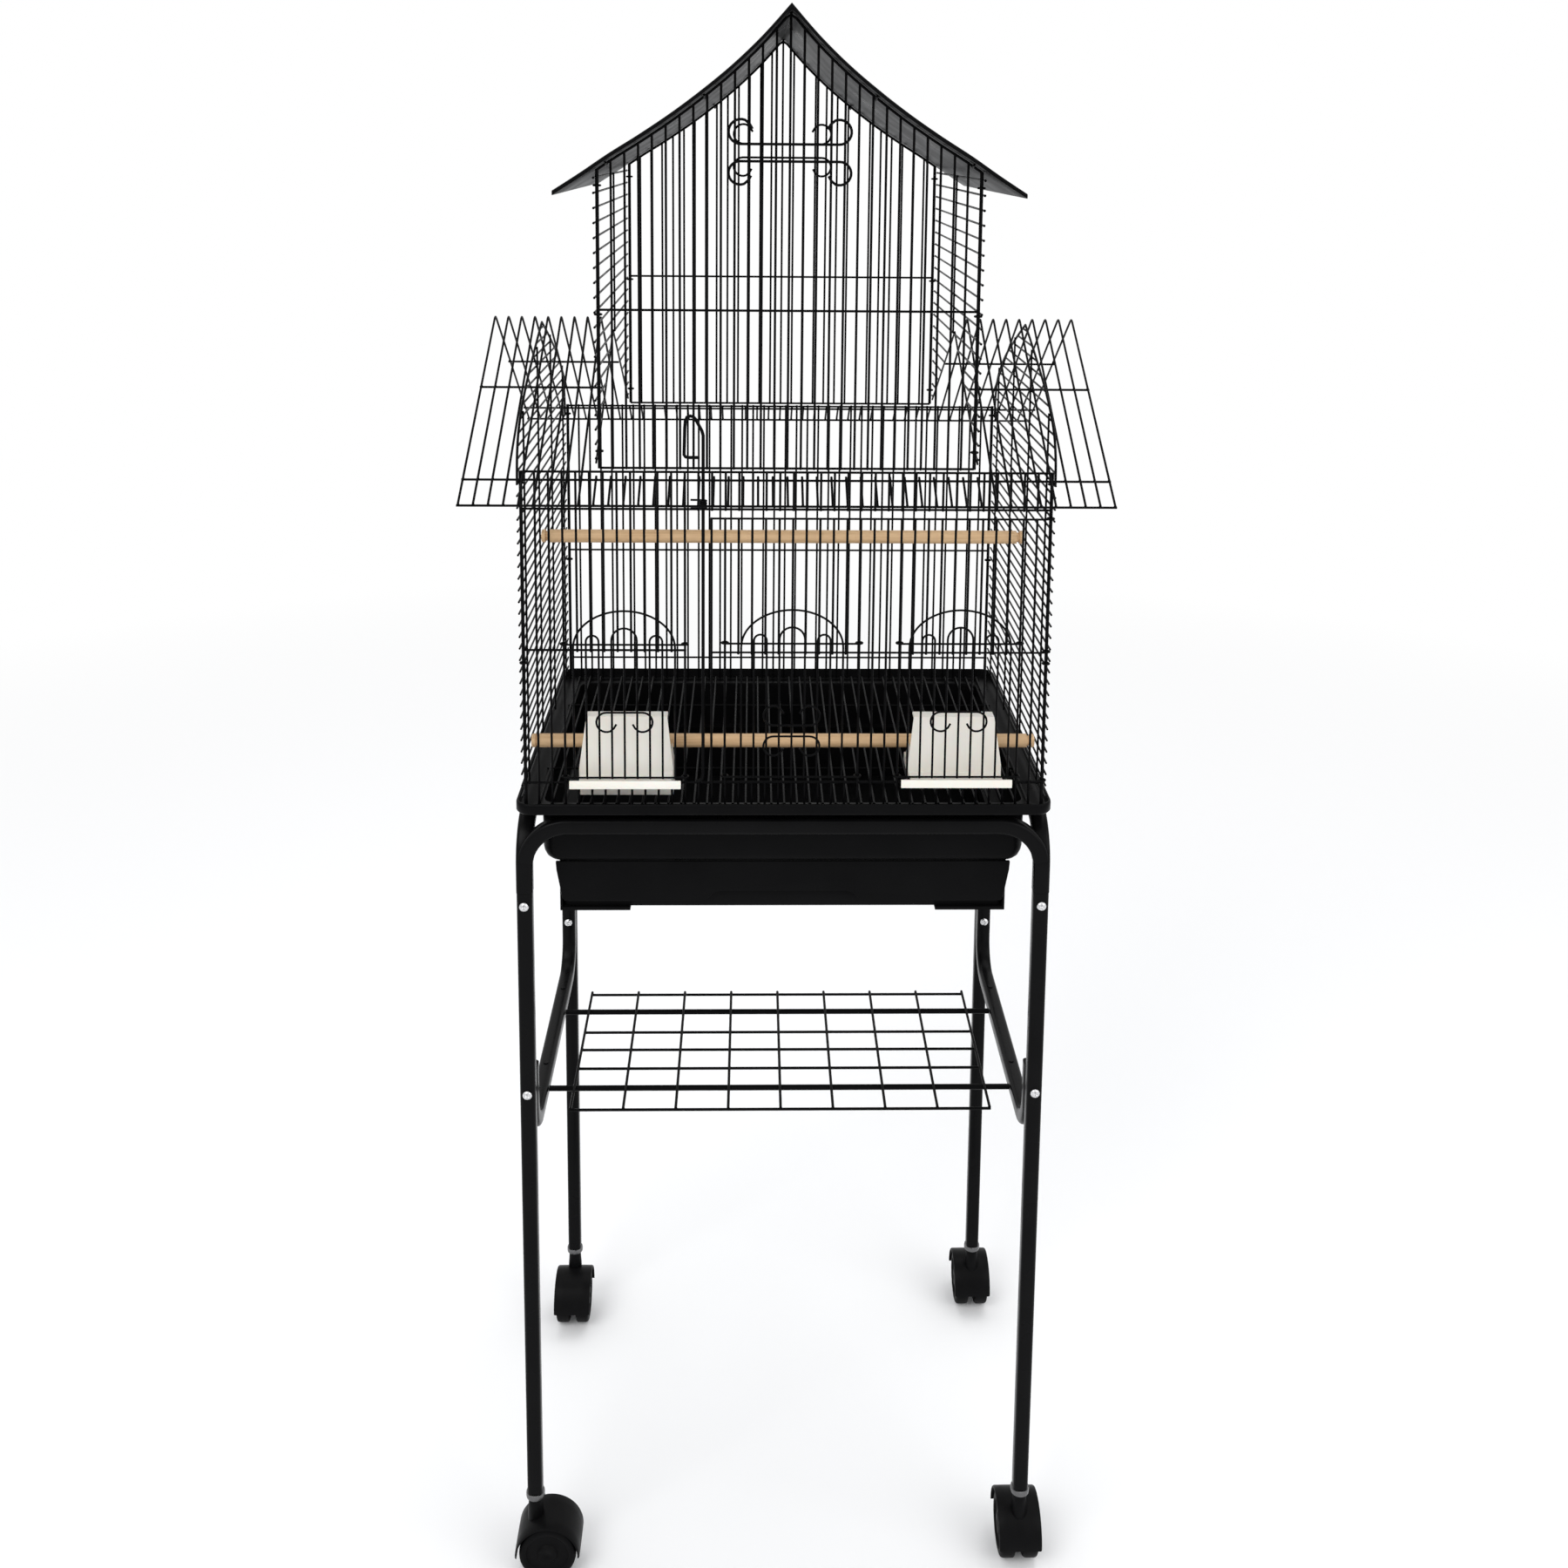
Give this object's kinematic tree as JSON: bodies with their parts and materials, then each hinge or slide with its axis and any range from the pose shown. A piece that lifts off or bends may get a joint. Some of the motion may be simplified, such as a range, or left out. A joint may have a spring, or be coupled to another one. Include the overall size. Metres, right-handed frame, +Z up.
{
  "type": "bird cage on stand",
  "caption": "House-shaped wire bird cage with an upper storey under a curved roof, on a tubular rolling stand with a wire shelf.",
  "frame": {"origin": "on the floor, under the middle of the cage", "axes": "+Z up, +X to the right, the doors face -Y"},
  "size_m": [0.531, 0.4019, 1.404],
  "materials": {
    "frame_coat": "satin black coating",
    "wire_coat": "satin black coating on wire",
    "base_plastic": "fine satin",
    "roof_plastic": "satin",
    "caster_plastic": "satin",
    "caster_tread": "hard satin",
    "bright_ring": "bright zinc",
    "screw_metal": "bright zinc",
    "cup_plastic": "smooth",
    "perch_wood": "bare sanded"
  },
  "bodies": {
    "stand": {"leg_front_left": "frame_coat", "caster_socket_front_left": "bright_ring", "leg_front_right": "frame_coat", "caster_socket_front_right": "bright_ring", "leg_rear_left": "frame_coat", "caster_socket_rear_left": "bright_ring", "leg_rear_right": "frame_coat", "caster_socket_rear_right": "bright_ring", "side_frame_left": "frame_coat", "stretcher_left": "frame_coat", "side_panel_left": "wire_coat", "roof_wing_left": "wire_coat", "house_side_left": "wire_coat", "feeder_cup_left": "cup_plastic", "side_frame_right": "frame_coat", "stretcher_right": "frame_coat", "side_panel_right": "wire_coat", "roof_wing_right": "wire_coat", "house_side_right": "wire_coat", "cross_arch_front": "frame_coat", "roof_skirt_front": "wire_coat", "house_front": "wire_coat", "cross_arch_back": "frame_coat", "roof_skirt_back": "wire_coat", "house_back": "wire_coat", "wire_shelf": "wire_coat", "stand_screws": "screw_metal", "base_tub": "base_plastic", "floor_grate": "wire_coat", "front_panel": "wire_coat", "back_panel": "wire_coat", "latch_clip": "wire_coat", "perch_upper": "perch_wood", "perch_lower": "perch_wood", "plastic_roof": "roof_plastic"},
    "swivel_front_left": {"caster_yoke_front_left": "caster_plastic"},
    "wheels_front_left": {"caster_wheels_front_left": "caster_tread"},
    "swivel_front_right": {"caster_yoke_front_right": "caster_plastic"},
    "wheels_front_right": {"caster_wheels_front_right": "caster_tread"},
    "swivel_rear_left": {"caster_yoke_rear_left": "caster_plastic"},
    "wheels_rear_left": {"caster_wheels_rear_left": "caster_tread"},
    "swivel_rear_right": {"caster_yoke_rear_right": "caster_plastic"},
    "wheels_rear_right": {"caster_wheels_rear_right": "caster_tread"},
    "door": {"front_door": "wire_coat", "feeder_cup_right": "cup_plastic"},
    "slide_left": {"sliding_door_left": "wire_coat"},
    "slide_centre": {"sliding_door_centre": "wire_coat"},
    "slide_right": {"sliding_door_right": "wire_coat"},
    "latch": {"latch_rod": "wire_coat"},
    "tray": {"pull_out_tray": "base_plastic"}
  },
  "joints": [
    {"name": "swivel_front_left_turn", "type": "hinge", "parent": "stand", "child": "swivel_front_left", "pos_m": [-0.222, -0.16, 0.076], "axis": [0, 0, 1], "continuous": true},
    {"name": "wheels_front_left_roll", "type": "hinge", "parent": "swivel_front_left", "child": "wheels_front_left", "pos_m": [-0.21, -0.16, 0.026], "axis": [0, 1, 0], "continuous": true},
    {"name": "swivel_front_right_turn", "type": "hinge", "parent": "stand", "child": "swivel_front_right", "pos_m": [0.222, -0.16, 0.076], "axis": [0, 0, 1], "continuous": true},
    {"name": "wheels_front_right_roll", "type": "hinge", "parent": "swivel_front_right", "child": "wheels_front_right", "pos_m": [0.222, -0.148, 0.026], "axis": [1, 0, 0], "continuous": true},
    {"name": "swivel_rear_left_turn", "type": "hinge", "parent": "stand", "child": "swivel_rear_left", "pos_m": [-0.222, 0.16, 0.076], "axis": [0, 0, 1], "continuous": true},
    {"name": "wheels_rear_left_roll", "type": "hinge", "parent": "swivel_rear_left", "child": "wheels_rear_left", "pos_m": [-0.222, 0.148, 0.026], "axis": [1, 0, 0], "continuous": true},
    {"name": "swivel_rear_right_turn", "type": "hinge", "parent": "stand", "child": "swivel_rear_right", "pos_m": [0.222, 0.16, 0.076], "axis": [0, 0, 1], "continuous": true},
    {"name": "wheels_rear_right_roll", "type": "hinge", "parent": "swivel_rear_right", "child": "wheels_rear_right", "pos_m": [0.222, 0.172, 0.026], "axis": [1, 0, 0], "continuous": true},
    {"name": "front_door_hinge", "type": "hinge", "parent": "stand", "child": "door", "pos_m": [0.219, -0.165, 0.876], "axis": [0, 0, 1], "range_deg": [0, 110]},
    {"name": "sliding_door_left_lift", "type": "slide", "parent": "stand", "child": "slide_left", "axis": [0, 0, 1], "range_m": [0, 0.085]},
    {"name": "sliding_door_centre_lift", "type": "slide", "parent": "door", "child": "slide_centre", "axis": [0, 0, 1], "range_m": [0, 0.085]},
    {"name": "sliding_door_right_lift", "type": "slide", "parent": "door", "child": "slide_right", "axis": [0, 0, 1], "range_m": [0, 0.085]},
    {"name": "latch_rod_lift", "type": "slide", "parent": "stand", "child": "latch", "axis": [0, 0, 1], "range_m": [0, 0.02]},
    {"name": "tray_pull", "type": "slide", "parent": "stand", "child": "tray", "axis": [0, -1, 0], "range_m": [0, 0.26]}
  ]
}
